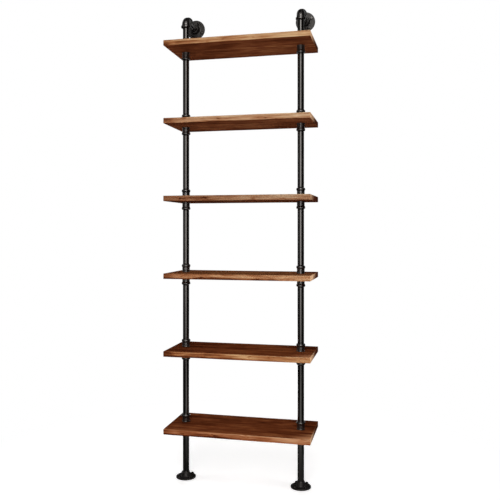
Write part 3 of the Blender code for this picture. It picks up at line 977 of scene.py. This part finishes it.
def flange_mesh(name, turn):
    """A round plate with a tapering hub, open right through for the pipe."""
    corners = [
        (FLANGE_RADIUS, 0, FLANGE_SEAT_EASE),
        (FLANGE_RADIUS, FLANGE_THICKNESS - FLANGE_EDGE_CHAMFER, FLANGE_EASE),
        (FLANGE_RADIUS - FLANGE_EDGE_CHAMFER, FLANGE_THICKNESS, FLANGE_EASE),
        (HUB_BASE_RADIUS, FLANGE_THICKNESS, HUB_FILLET),
        (SOCKET_RADIUS + HUB_TOP_WALL, FLANGE_HEIGHT, FLANGE_EASE),
        (SOCKET_RADIUS + MOUTH_CHAMFER, FLANGE_HEIGHT, 0),
        (SOCKET_RADIUS, FLANGE_HEIGHT - MOUTH_CHAMFER, 0),
        (SOCKET_RADIUS, 0, 0),
    ]
    body = skin(name, turned_rings(softened(corners), FLANGE_FACETS), FLANGE_LOOK)
    hole = [(SCREW_HOLE_RADIUS, -FLANGE_THICKNESS), (SCREW_HOLE_RADIUS, 2 * FLANGE_THICKNESS)]
    drill = skin("flange_drill", turned_rings(hole, SCREW_FACETS), FLANGE_LOOK, looped=False)
    return cut_mesh(body, [(drill, place) for place in screw_places(turn)], FLANGE_LOOK)


def screw_mesh():
    """A hexagon-headed screw with a washer face, driven into a flange that lies at 0."""
    seat = FLANGE_THICKNESS + SEAT_GAP
    washer_top = seat + SCREW_WASHER_THICKNESS
    head_top = washer_top + SCREW_HEAD_HEIGHT
    shoulder = head_top - SCREW_HEAD_CHAMFER
    flat = SCREW_HEAD_WIDTH / 2
    corner = flat / math.cos(math.pi / HEXAGON)
    crown = flat * SCREW_CROWN
    shank = rows(SEAT_GAP + SCREW_THREAD_DEPTH, seat, SCREW_THREAD_PITCH / THREAD_ROWS)
    outline = [(SCREW_SHANK_RADIUS - SCREW_THREAD_DEPTH, SEAT_GAP)]
    outline += [(SCREW_SHANK_RADIUS, height) for height in shank]
    washer = [
        (SCREW_SHANK_RADIUS, seat, 0),
        (SCREW_WASHER_RADIUS, seat, SCREW_WASHER_SEAT_EASE),
        (SCREW_WASHER_RADIUS, washer_top, SCREW_WASHER_TOP_EASE),
        (corner, washer_top, 0),
    ]
    outline += softened(washer)[1:]
    head_start = len(outline) - 1
    sides = rows(washer_top + SEAT_GAP, shoulder, SCREW_HEAD_HEIGHT / SCREW_HEAD_ROWS)
    outline += [(corner, height) for height in sides]
    for step in range(1, SCREW_CHAMFER_STEPS + 1):
        share = step / SCREW_CHAMFER_STEPS
        height = head_top - SCREW_HEAD_CHAMFER * (1 - share)
        outline.append((corner + (crown - corner) * share, height))
    outline.append((flat * SCREW_CROWN_FLAT, head_top))
    rings = turned_rings(outline, SCREW_FACETS)
    spans = [(0, seat + THREAD_FADE)]
    threaded(rings, spans, SCREW_SHANK_RADIUS, SCREW_THREAD_PITCH, SCREW_THREAD_DEPTH)
    angles = np.arange(SCREW_FACETS) / SCREW_FACETS * math.tau
    sixth = math.tau / HEXAGON
    side = flat / np.cos((angles + sixth / 2) % sixth - sixth / 2)
    head = rings[head_start:, :, :2]
    reach = np.hypot(head[..., 0], head[..., 1])
    head *= np.minimum(1, side / reach)[..., None]
    return skin("screw", rings, SCREW_LOOK, looped=False)


def add_boards():
    """The six boards."""
    for number in BOARDS:
        node = f"board_{number}"
        low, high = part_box(node)
        mesh = board_mesh(number, wood_look(number))
        piece(f"{node}_timber", mesh, [node], (low + high) / 2)


def add_fittings(side, x, coupling):
    """The couplings on both faces of each board, and the nipples that join them."""
    nipple_length = BOARD_SIZE.z + 2 * SEAT_GAP + 2 * COUPLING_GRIP
    for number in BOARDS:
        low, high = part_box(f"board_{number}")
        turn = COUPLING_TURN * number
        under = (x, PIPE_Y, low.z - SEAT_GAP)
        over = (x, PIPE_Y, high.z + SEAT_GAP)
        lower, upper = f"{side}_lower_coupling_{number}", f"{side}_upper_coupling_{number}"
        piece(f"{lower}_cast", coupling, [lower], under, (math.pi, 0, turn))
        piece(f"{upper}_cast", coupling, [upper], over, (0, 0, turn + MATE_TURN))
        nipple = pipe_mesh_of(nipple_length, COUPLING_GRIP, COUPLING_GRIP)
        start = (x, PIPE_Y, low.z - SEAT_GAP - COUPLING_GRIP)
        piece(f"{side}_nipple_{number}", nipple, [lower], start)


def add_pipes(side, x):
    """The foot, the pipes between boards, the riser and the pipe to the wall."""
    grips = {f"{side}_foot_pipe": (FLANGE_GRIP, COUPLING_GRIP)}
    grips.update({f"{side}_pipe_{bay}": (COUPLING_GRIP, COUPLING_GRIP) for bay in BAYS})
    grips[f"{side}_riser_pipe"] = (COUPLING_GRIP, ELBOW_GRIP)
    for node, (low_grip, high_grip) in grips.items():
        low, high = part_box(node)
        mesh = pipe_mesh_of(high.z - low.z, low_grip, high_grip)
        piece(f"{node}_tube", mesh, [node], (x, PIPE_Y, low.z))
    node = f"{side}_wall_pipe"
    low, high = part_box(node)
    mesh = pipe_mesh_of(high.y - low.y, FLANGE_GRIP, ELBOW_GRIP)
    piece(f"{node}_tube", mesh, [node], (x, high.y, ELBOW_HEIGHT), LAID_FORWARD)


def add_screws(flange, name, mesh, turn, nodes):
    """A flange's screws. Each stands for the solid named with it, if there is one."""
    tilt = flange.rotation_euler.to_matrix()
    for number, (centre, node) in enumerate(zip(screw_places(turn), nodes), 1):
        place = flange.location + tilt @ Vector(centre)
        piece(f"{name}_{number}", mesh, node, place, flange.rotation_euler)


def add_ends(side, x, meshes):
    """The elbow, the floor flange and the wall flange."""
    node = f"{side}_elbow"
    piece(f"{node}_cast", meshes["elbow"], [node], (x, PIPE_Y, ELBOW_HEIGHT))
    floor_turn, wall_turn = FLOOR_SCREW_ANGLE, WALL_SCREW_ANGLE
    if side == "right":
        floor_turn, wall_turn = math.pi - floor_turn, math.pi - wall_turn
    numbers = range(1, SCREWS_PER_FLANGE + 1)
    floor_nodes = [[f"{side}_floor_screw_{number}"] for number in numbers]
    node = f"{side}_floor_flange"
    floor = piece(f"{node}_cast", meshes["floor"], [node], (x, PIPE_Y, 0))
    add_screws(floor, f"{side}_floor_lag_screw", meshes["screw"], floor_turn, floor_nodes)
    node = f"{side}_wall_flange"
    place = (x, WALL_Y, ELBOW_HEIGHT)
    wall = piece(f"{node}_cast", meshes[side], [node], place, LAID_FORWARD)
    no_nodes = [[]] * SCREWS_PER_FLANGE
    add_screws(wall, f"{side}_wall_lag_screw", meshes["screw"], wall_turn, no_nodes)


def add_camera():
    """The photograph's view."""
    data = bpy.data.cameras.new("photo_camera")
    data.sensor_width = CAMERA_SENSOR
    data.lens = CAMERA_FOCAL_PIXELS * CAMERA_SENSOR / PHOTO_PIXELS
    data.shift_y = (CAMERA_HORIZON_PIXELS - PHOTO_PIXELS / 2) / PHOTO_PIXELS
    turn = (math.radians(90), 0, CAMERA_TURN)
    bpy.context.scene.camera = placed("photo_camera", data, CAMERA_PLACE, turn)


def add_lamp(name, place, target, size, radiance):
    """A soft rectangular lamp that faces a target, of a plain radiance."""
    data = bpy.data.lights.new(name, "AREA")
    data.shape = "RECTANGLE"
    data.size, data.size_y = size
    data.energy = radiance * math.pi * size[0] * size[1]
    turn = (Vector(target) - Vector(place)).to_track_quat("-Z", "Y").to_euler()
    lamp = placed(name, data, place, turn)
    lamp.visible_camera = False
    lamp.visible_glossy = False


def seen_directly(look):
    """Return 1 where a camera, glossy or transmission ray meets the surface, else 0."""
    path = look.node("LightPath", {}).outputs
    direct = look.math("MAXIMUM", path["Is Camera Ray"], path["Is Glossy Ray"])
    return look.math("MAXIMUM", direct, path["Is Transmission Ray"])


class WorldLook(Look):
    """The same short calls for the world's nodes."""

    def __init__(self, world):
        world.use_nodes = True
        self.tree = world.node_tree
        self.surface = self.tree.nodes["Background"]


def add_world():
    """White where it is seen directly, and a weaker even light on the object."""
    world = bpy.data.worlds.new("studio_white")
    bpy.context.scene.world = world
    look = WorldLook(world)
    strength = look.math("MULTIPLY_ADD", seen_directly(look), 1 - AMBIENT, AMBIENT)
    look.surface.inputs["Color"].default_value = (1, 1, 1, 1)
    look.feed(look.surface.inputs["Strength"], strength)


def add_floor():
    """A floor that the lamps light near the object, and plain white further away."""
    look = Look("studio_floor")
    distance = look.length(look.node("TexCoord", {}).outputs["Object"])
    direct = seen_directly(look)
    matt = look.node("BsdfDiffuse", {"Color": (FLOOR_SHADE, FLOOR_SHADE, FLOOR_SHADE, 1)})
    glow = look.node("Emission", {"Strength": look.product(direct, FLOOR_GLOW)})
    near = look.node("AddShader", {0: matt.outputs[0], 1: glow.outputs[0]})
    white = look.node("Emission", {"Strength": 1.0})
    far = look.product(direct, look.spread(distance, *FLOOR_FADE))
    both = look.node("MixShader", {0: far, 1: near.outputs[0], 2: white.outputs[0]})
    half = FLOOR_SIZE / 2
    points = [(-half, -half, 0), (half, -half, 0), (half, half, 0), (-half, half, 0)]
    mesh = meshed("studio_floor", points, [(0, 1, 2, 3)], look.finish_bare(both))
    placed("studio_floor", mesh)


def strip_look(name, half_width, radiance, lights):
    """A clear panel that glows: softly to its sides, and as told along its way."""
    look = Look(name)
    x, y, z = look.parts(look.node("TexCoord", {}).outputs["Object"])
    toward = look.product(y, -1.0)
    sides = (half_width - STRIP_SOFTNESS, half_width + STRIP_SOFTNESS)
    middle = look.spread(look.math("ABSOLUTE", x), *sides, 1.0, 0.0)
    ahead = look.spread(toward, *STRIP_BACK_FADE)
    below = look.spread(z, *STRIP_TOP_FADE, 1.0, 0.0)
    lit = look.math("MAXIMUM", below, look.spread(toward, *CEILING_FADE))
    band = look.product(middle, ahead, lit)
    way = look.weighted((z, 1 / STRIP_LENGTH), (toward, 1 / STRIP_LENGTH))
    way = look.math("SUBTRACT", way, (PANEL_REACH + STRIP_START) / STRIP_LENGTH)
    stops = [((place - STRIP_START) / STRIP_LENGTH, share) for place, share in lights]
    light = look.node("Emission", {"Color": look.scaled(look.curve(way, stops), band)})
    light.inputs["Strength"].default_value = radiance
    clear = look.node("BsdfTransparent", {})
    return look.finish_bare(look.node("AddShader", {0: light.outputs[0], 1: clear.outputs[0]}))


def add_reflected(name, mesh, turn=0.0):
    """Place an object of the studio that only reflections see."""
    item = placed(name, mesh, ORIGIN, (0, 0, turn))
    item.visible_camera = False
    item.visible_diffuse = False
    item.visible_transmission = False
    item.visible_volume_scatter = False
    item.visible_shadow = False


def add_tent():
    """A dark tent round the object, from the floor up and over it, with strips of light."""
    look = Look("studio_tent")
    dark = look.finish_bare(look.node("BsdfDiffuse", {"Color": (0, 0, 0, 1)}))
    rims = [(TENT_FOOT, TENT_LIFT), (TENT_RADIUS, TENT_LIFT), (TENT_RADIUS, TENT_HEIGHT)]
    tent = skin("studio_tent", turned_rings(rims, TENT_STEPS), dark, looped=False)
    add_reflected("studio_tent", tent)
    way = [(0.0, PANEL_LIFT), (PANEL_REACH, PANEL_LIFT)]
    way += [(PANEL_REACH, PANEL_HEIGHT), (0.0, PANEL_HEIGHT)]
    faces = [(0, 1, 3, 2), (2, 3, 5, 4), (4, 5, 7, 6)]
    for number, (azimuth, half_width, radiance, lights) in enumerate(STRIPS, 1):
        name = f"studio_strip_{number}"
        side = half_width + STRIP_SOFTNESS
        points = [(x, -toward, z) for toward, z in way for x in (-side, side)]
        glow = strip_look(name, half_width, radiance, lights)
        add_reflected(name, meshed(name, points, faces, glow), math.radians(azimuth))


def add_studio():
    """Camera, world, floor, tent and lamps."""
    add_camera()
    add_world()
    add_floor()
    add_tent()
    for name, settings in LAMPS.items():
        add_lamp(name, *settings)
    bpy.context.scene.view_settings.view_transform = "Standard"


add_studio()
MESHES = {
    "coupling": coupling_mesh(),
    "elbow": elbow_mesh(),
    "screw": screw_mesh(),
    "floor": flange_mesh("floor_flange", FLOOR_SCREW_ANGLE),
    "left": flange_mesh("left_wall_flange_casting", WALL_SCREW_ANGLE),
    "right": flange_mesh("right_wall_flange_casting", math.pi - WALL_SCREW_ANGLE),
}
add_boards()
for upright, centre_x in PIPE_X.items():
    add_fittings(upright, centre_x, MESHES["coupling"])
    add_pipes(upright, centre_x)
    add_ends(upright, centre_x, MESHES)

bpy.context.view_layer.update()
